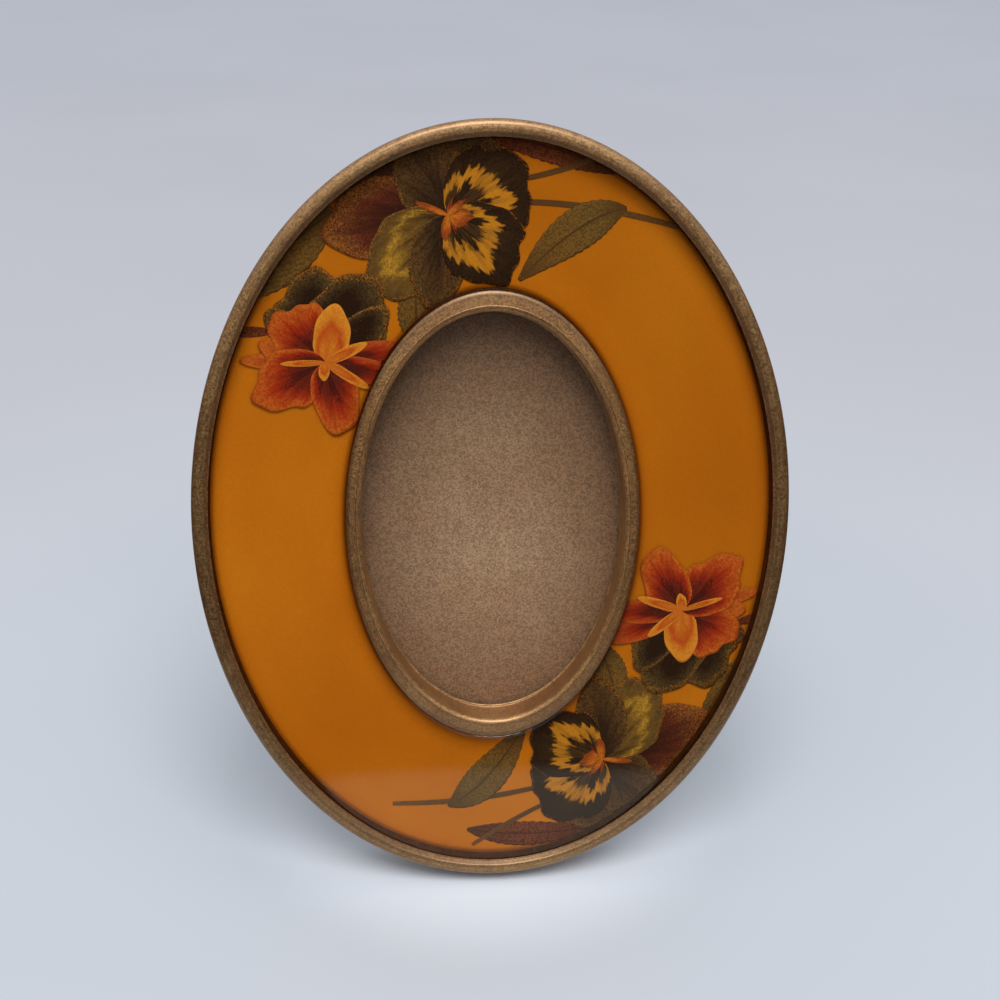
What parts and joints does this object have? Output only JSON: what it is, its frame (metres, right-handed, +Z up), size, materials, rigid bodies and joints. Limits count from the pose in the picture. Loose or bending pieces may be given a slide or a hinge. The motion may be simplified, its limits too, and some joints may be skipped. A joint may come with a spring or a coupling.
{
  "type": "picture frame",
  "caption": "Small oval tabletop picture frame with a printed and resin-filled border round an oval window, leaning back on a hinged easel leg.",
  "frame": {"origin": "middle of the footprint on the surface that the frame stands on", "axes": "+Z up, -Y out of the picture side, +X to the right of someone who looks at the picture"},
  "size_m": [0.08, 0.0426, 0.1036],
  "materials": {
    "bronze_powder": "matt antique bronze powder coat with a fine metallic grain, worn bright on edges",
    "printed_paper": "printed paper, warm ochre ground with flower sprays",
    "amber_resin": "clear poured resin, amber tinted, glossy",
    "clear_glass": "clear polished glass",
    "bronze_card": "card with a bronze metallic coat, fine grain",
    "aged_plate": "stamped steel with a dark bronze coat",
    "aged_steel": "stamped steel with a dark bronze coat, rubbed on edges",
    "rivet_brass": "aged brass",
    "button_brass": "aged brass, brushed by use",
    "screw_steel": "plain steel, slightly dulled"
  },
  "bodies": {
    "frame": {"frame_casting": "bronze_powder", "print_ring": "printed_paper", "resin_inlay": "amber_resin", "window_pane": "clear_glass", "backing_card": "bronze_card", "back_plate": "aged_plate", "easel_bracket": "aged_steel", "bracket_rivets": "rivet_brass", "hinge_pin": "aged_steel", "button_screws": "screw_steel", "button_washers": "screw_steel"},
    "easel_leg": {"easel_leg": "aged_steel"},
    "button_upper_right": {"turn_button_upper_right": "button_brass"},
    "button_upper_left": {"turn_button_upper_left": "button_brass"},
    "button_lower_left": {"turn_button_lower_left": "button_brass"},
    "button_lower_right": {"turn_button_lower_right": "button_brass"}
  },
  "joints": [
    {"name": "leg_fold", "type": "hinge", "parent": "frame", "child": "easel_leg", "pos_m": [0, 0.0024, 0.07032], "axis": [-1, 0, 0], "range_deg": [0, 25]},
    {"name": "button_turn_upper_right", "type": "hinge", "parent": "frame", "child": "button_upper_right", "pos_m": [0.02398, 0.00201, 0.07809], "axis": [0, 0.9781, -0.2079], "range_deg": [-90, 90]},
    {"name": "button_turn_upper_left", "type": "hinge", "parent": "frame", "child": "button_upper_left", "pos_m": [-0.02398, 0.00201, 0.07809], "axis": [0, 0.9781, -0.2079], "range_deg": [-90, 90]},
    {"name": "button_turn_lower_left", "type": "hinge", "parent": "frame", "child": "button_lower_left", "pos_m": [-0.02398, -0.00943, 0.02427], "axis": [0, 0.9781, -0.2079], "range_deg": [-90, 90]},
    {"name": "button_turn_lower_right", "type": "hinge", "parent": "frame", "child": "button_lower_right", "pos_m": [0.02398, -0.00943, 0.02427], "axis": [0, 0.9781, -0.2079], "range_deg": [-90, 90]}
  ]
}
